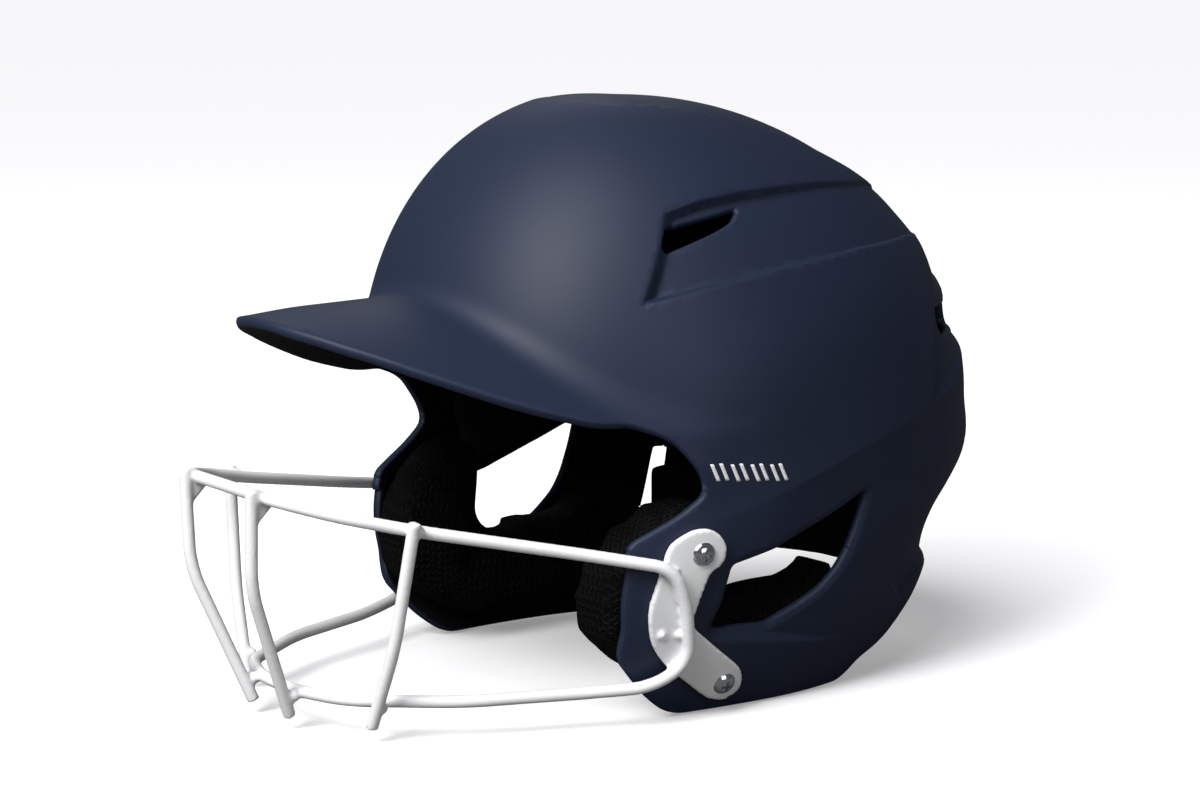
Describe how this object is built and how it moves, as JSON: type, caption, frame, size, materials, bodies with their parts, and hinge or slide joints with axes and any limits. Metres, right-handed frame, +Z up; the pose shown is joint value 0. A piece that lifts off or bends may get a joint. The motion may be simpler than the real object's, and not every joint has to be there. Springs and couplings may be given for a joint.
{
  "type": "batting helmet",
  "caption": "Softball batting helmet: hard shell with visor and ear flaps, foam liner, cloth jaw pads and a bolted welded-wire face guard.",
  "frame": {"origin": "middle of the base of the whole helmet, on the surface its ear flaps stand on", "axes": "+Z up, the wearer looks along -Y, +X to the wearer's left; the YZ plane is the mirror plane"},
  "size_m": [0.208, 0.332, 0.228],
  "materials": {
    "shell_paint": "matte navy paint on ABS, black inside",
    "guard_coat": "white powder coat on steel",
    "mesh_fabric": "black three-dimensional mesh cloth over foam",
    "liner_foam": "black closed-cell foam",
    "mark_print": "white printed film",
    "screw_chrome": "polished",
    "nut_steel": "zinc plated",
    "washer_rubber": "black"
  },
  "bodies": {
    "root": {"outer_shell": "shell_paint", "guard_loop": "guard_coat", "front_pad": "liner_foam", "crown_pad": "liner_foam", "rear_pad": "liner_foam", "nape_pad": "liner_foam", "guard_bar_centre_left": "guard_coat", "guard_bar_side_left": "guard_coat", "guard_plate_left": "guard_coat", "guard_web_left": "guard_coat", "jaw_pad_left": "mesh_fabric", "ear_pad_left": "liner_foam", "side_pad_left": "liner_foam", "side_mark_left": "mark_print", "screw_upper_left": "screw_chrome", "washer_upper_left": "washer_rubber", "tee_nut_upper_left": "nut_steel", "screw_lower_left": "screw_chrome", "washer_lower_left": "washer_rubber", "tee_nut_lower_left": "nut_steel", "guard_bar_centre_right": "guard_coat", "guard_bar_side_right": "guard_coat", "guard_plate_right": "guard_coat", "guard_web_right": "guard_coat", "jaw_pad_right": "mesh_fabric", "ear_pad_right": "liner_foam", "side_pad_right": "liner_foam", "side_mark_right": "mark_print", "screw_upper_right": "screw_chrome", "washer_upper_right": "washer_rubber", "tee_nut_upper_right": "nut_steel", "screw_lower_right": "screw_chrome", "washer_lower_right": "washer_rubber", "tee_nut_lower_right": "nut_steel"}
  },
  "joints": []
}
